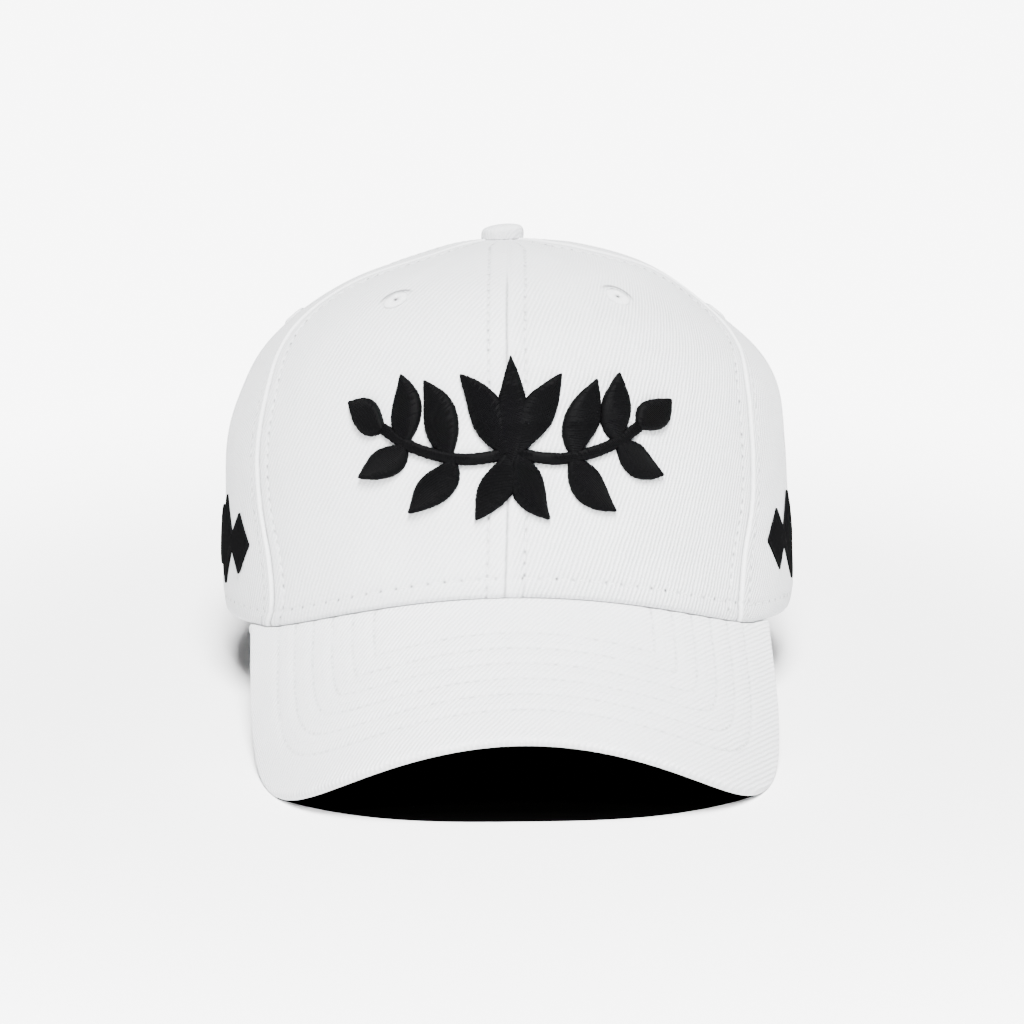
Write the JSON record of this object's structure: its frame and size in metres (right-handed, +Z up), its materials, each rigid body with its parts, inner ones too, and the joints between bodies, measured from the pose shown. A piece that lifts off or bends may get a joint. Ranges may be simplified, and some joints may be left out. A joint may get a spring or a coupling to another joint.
{
  "type": "structured baseball-style cap",
  "caption": "Structured panelled cloth cap with a curved stitched peak, covered button, sewn eyelets and raised embroidery on the front, resting on its peak and rim.",
  "frame": {"origin": "on the surface that the cap stands on, under the middle of its bounding box", "axes": "+Z up, the peak points to -Y, +X to the right as seen from in front of the cap"},
  "size_m": [0.1854, 0.2654, 0.1415],
  "materials": {
    "twill": "white cotton twill",
    "band": "white cotton tape",
    "white_thread": "white satin-stitched thread",
    "black_thread": "black satin-stitched thread"
  },
  "bodies": {
    "root": {"front_panel_right": "twill", "side_panel_right": "twill", "back_panel_right": "twill", "back_panel_left": "twill", "side_panel_left": "twill", "front_panel_left": "twill", "peak": "twill", "sweatband": "band", "top_button": "twill", "eyelet_front_right": "white_thread", "eyelet_side_right": "white_thread", "eyelet_back_right": "white_thread", "eyelet_back_left": "white_thread", "eyelet_side_left": "white_thread", "eyelet_front_left": "white_thread", "front_ornament": "black_thread", "side_motif_right": "black_thread", "side_motif_left": "black_thread"}
  },
  "joints": []
}
